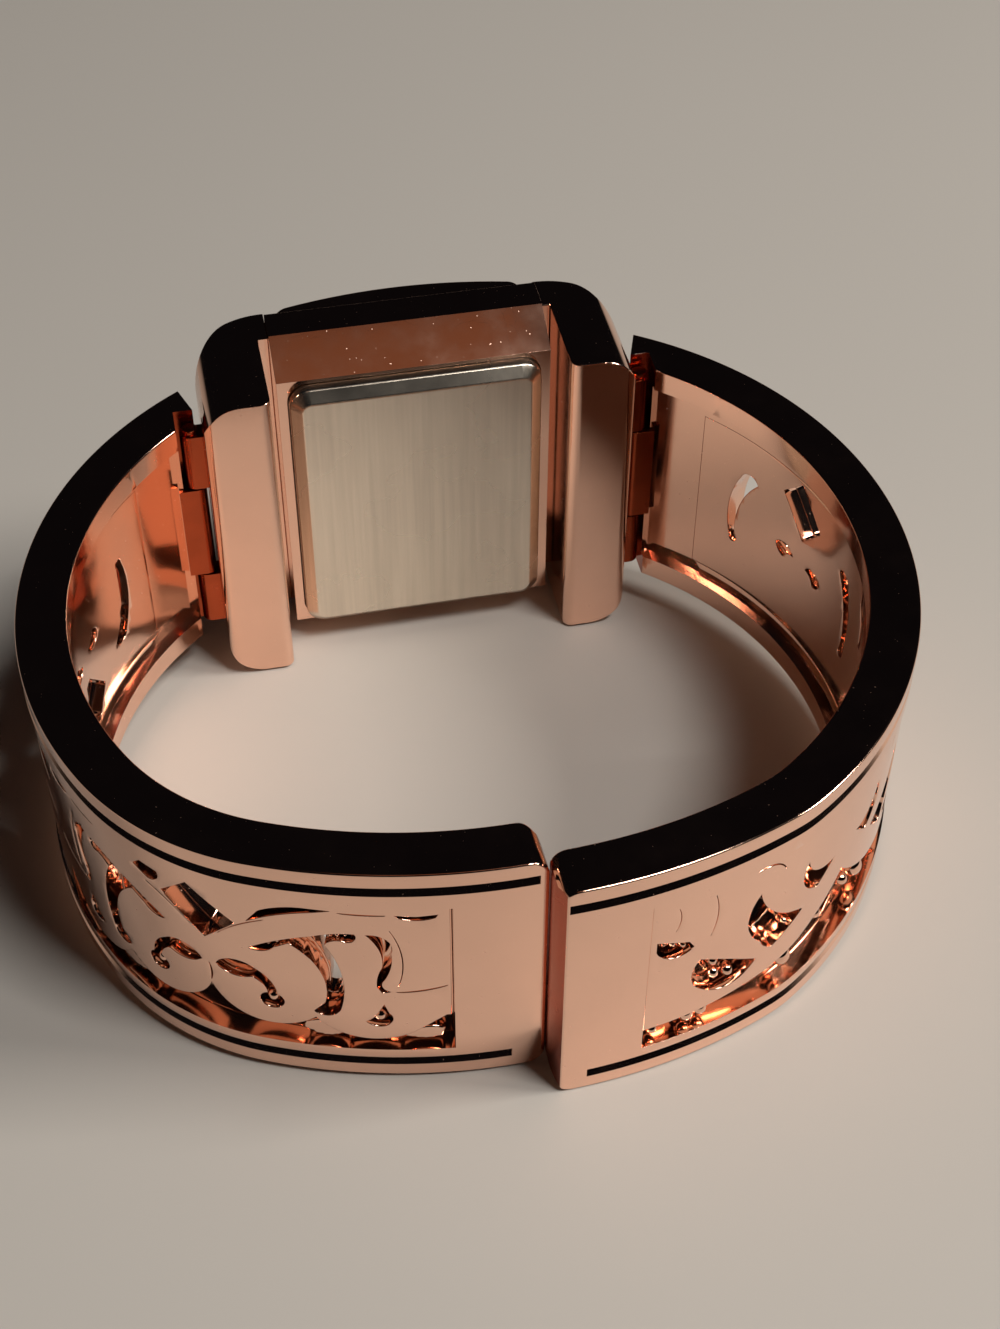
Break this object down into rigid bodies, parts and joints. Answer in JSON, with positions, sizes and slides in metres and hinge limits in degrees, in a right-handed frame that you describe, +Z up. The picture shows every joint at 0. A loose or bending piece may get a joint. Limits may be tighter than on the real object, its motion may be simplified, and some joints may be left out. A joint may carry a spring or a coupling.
{
  "type": "bangle watch",
  "caption": "Rigid bangle wristwatch: a rectangular watch head between two pierced scrollwork arms that hinge outwards on sprung pins and meet at an open gap.",
  "frame": {"origin": "under the middle of the bangle's box, on the plane that the watch head rests on", "axes": "+Z along the wrist's axis, +Y from the open gap towards the watch head's crystal, +X to the right seen from the gap with +Z up"},
  "size_m": [0.0636, 0.0608, 0.0294],
  "materials": {
    "rose_gold": "polished",
    "steel": "satin",
    "glass": "clear",
    "dial_lacquer": "satin",
    "seal_rubber": "matt",
    "holder_plastic": "matt",
    "movement_brass": "satin",
    "copper_wire": "lacquered wire",
    "board_laminate": "satin"
  },
  "bodies": {
    "head": {"case_body": "rose_gold", "bezel": "rose_gold", "crystal": "glass", "crystal_gasket": "seal_rubber", "dial": "dial_lacquer", "dial_flange": "dial_lacquer", "hour_markers": "rose_gold", "case_back": "steel", "case_back_gasket": "seal_rubber", "left_side_bar": "rose_gold", "right_side_bar": "rose_gold", "left_hinge_pin": "steel", "right_hinge_pin": "steel", "left_hinge_spring": "steel", "right_hinge_spring": "steel", "movement_holder": "holder_plastic", "main_plate": "movement_brass", "train_bridge": "movement_brass", "bridge_screws": "steel", "battery": "steel", "battery_clamp": "steel", "circuit_board": "board_laminate", "coil": "copper_wire", "stator": "steel", "crown_tube": "steel"},
    "left_arm": {"left_arm_frame": "rose_gold", "left_scroll_panel": "rose_gold"},
    "right_arm": {"right_arm_frame": "rose_gold", "right_scroll_panel": "rose_gold"},
    "minute_train": {"minute_hand": "rose_gold", "centre_wheel": "movement_brass"},
    "hour_train": {"hour_hand": "rose_gold", "hour_wheel": "movement_brass"},
    "motion_wheel": {"minute_wheel": "movement_brass"},
    "reduction_wheel": {"third_wheel": "movement_brass"},
    "motor_rotor": {"rotor": "steel"},
    "setting": {"setting_lever": "steel"},
    "crown_and_stem": {"crown": "rose_gold", "crown_gasket": "seal_rubber", "stem": "steel"}
  },
  "joints": [
    {"name": "left_arm_hinge", "type": "hinge", "parent": "head", "child": "left_arm", "pos_m": [-0.0178, 0.02006, 0.0147], "axis": [0, 0, -1], "range_deg": [0, 20], "stiffness_Nm_per_rad": 0.3, "springref_deg": -11.46},
    {"name": "right_arm_hinge", "type": "hinge", "parent": "head", "child": "right_arm", "pos_m": [0.0178, 0.02006, 0.0147], "axis": [0, 0, 1], "range_deg": [0, 20], "stiffness_Nm_per_rad": 0.3, "springref_deg": -11.46},
    {"name": "minute_turn", "type": "hinge", "parent": "head", "child": "minute_train", "pos_m": [0, 0.02006, 0.0147], "axis": [0, -1, 0], "continuous": true},
    {"name": "hour_turn", "type": "hinge", "parent": "head", "child": "hour_train", "pos_m": [0, 0.02006, 0.0147], "axis": [0, -1, 0], "continuous": true},
    {"name": "motion_wheel_turn", "type": "hinge", "parent": "head", "child": "motion_wheel", "pos_m": [-0.00364, 0.02006, 0.0147], "axis": [0, -1, 0], "continuous": true},
    {"name": "reduction_wheel_turn", "type": "hinge", "parent": "head", "child": "reduction_wheel", "pos_m": [0, 0.02006, 0.01824], "axis": [0, -1, 0], "continuous": true},
    {"name": "rotor_turn", "type": "hinge", "parent": "head", "child": "motor_rotor", "pos_m": [-0.00267, 0.02006, 0.01921], "axis": [0, -1, 0], "continuous": true},
    {"name": "crown_pull", "type": "slide", "parent": "head", "child": "setting", "axis": [0, 0, -1], "range_m": [0, 0.0006]},
    {"name": "crown_turn", "type": "hinge", "parent": "setting", "child": "crown_and_stem", "pos_m": [0, 0.02426, 0.0147], "axis": [0, 0, -1], "continuous": true}
  ],
  "couplings": [
    {"joint": "hour_turn", "follows": "minute_turn", "ratio": 0.083333},
    {"joint": "motion_wheel_turn", "follows": "minute_turn", "ratio": -0.33333},
    {"joint": "reduction_wheel_turn", "follows": "minute_turn", "ratio": -6},
    {"joint": "rotor_turn", "follows": "minute_turn", "ratio": 36}
  ]
}
